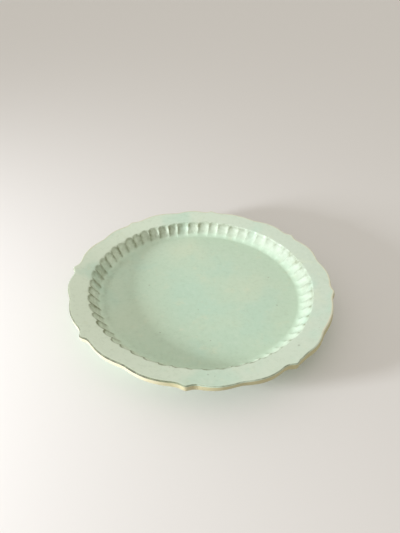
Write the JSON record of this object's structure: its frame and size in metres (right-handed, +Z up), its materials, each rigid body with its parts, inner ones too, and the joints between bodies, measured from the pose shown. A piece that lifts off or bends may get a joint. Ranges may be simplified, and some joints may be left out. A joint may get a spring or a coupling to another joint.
{
  "type": "rimmed plate",
  "caption": "Round glazed pottery plate with a bracketed lip, a broad rim, a fluted well and a low foot ring.",
  "frame": {"origin": "middle of the standing face, on the surface that the plate rests on", "axes": "+Z up, out of the well; +X towards the tip of one nub of the lip"},
  "size_m": [0.212, 0.212, 0.0226],
  "materials": {
    "glaze": "satin",
    "bare_clay": "matte"
  },
  "bodies": {
    "root": {"clay_body": "bare_clay", "foot_ring": "bare_clay", "glaze_face": "glaze", "glaze_back": "glaze", "glaze_base": "glaze"}
  },
  "joints": []
}
